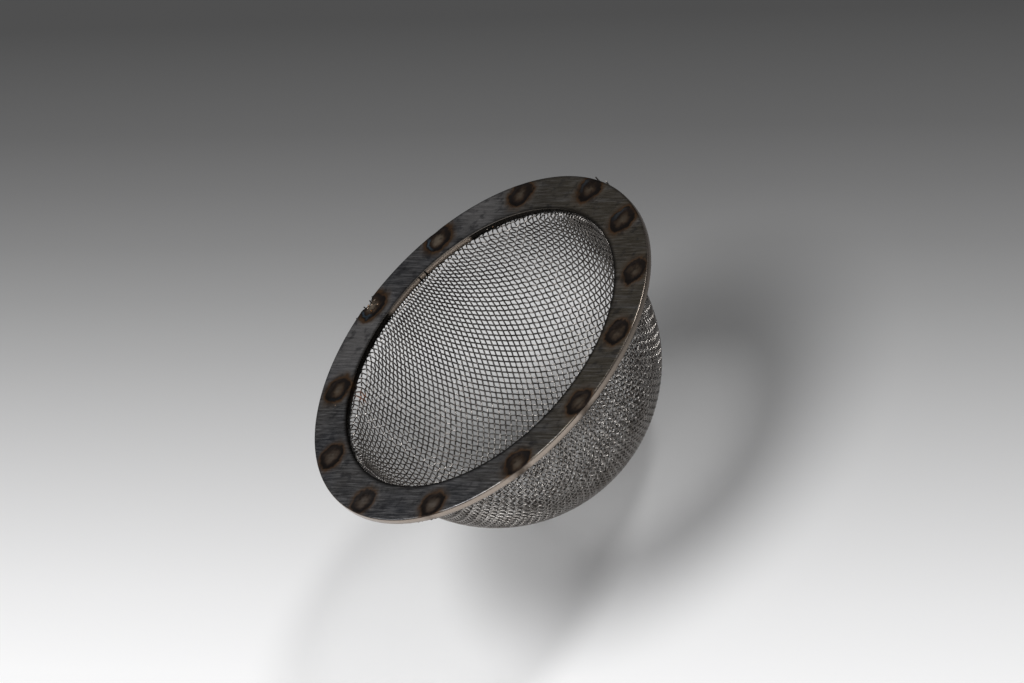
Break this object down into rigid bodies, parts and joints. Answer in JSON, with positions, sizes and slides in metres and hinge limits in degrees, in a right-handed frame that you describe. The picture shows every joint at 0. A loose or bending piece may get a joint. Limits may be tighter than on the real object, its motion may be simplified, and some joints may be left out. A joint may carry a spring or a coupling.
{
  "type": "spark arrestor screen",
  "caption": "Dome-shaped woven wire spark arrestor screen, spot welded by its flat brim behind a steel flange ring.",
  "frame": {"origin": "centre of the opening in the flange's front face", "axes": "+Z along the axis, out of the opening, with the dome hanging below the flange; +X and +Y across the flange"},
  "size_m": [0.0635, 0.0634, 0.0292],
  "materials": {
    "flange_steel": "cold rolled sheet steel, dark and oily, with heat tint round the spot welds",
    "screen_wire": "drawn round wire, plain weave, slightly dull"
  },
  "bodies": {
    "root": {"flange_ring": "flange_steel", "mesh_dome": "screen_wire"}
  },
  "joints": []
}
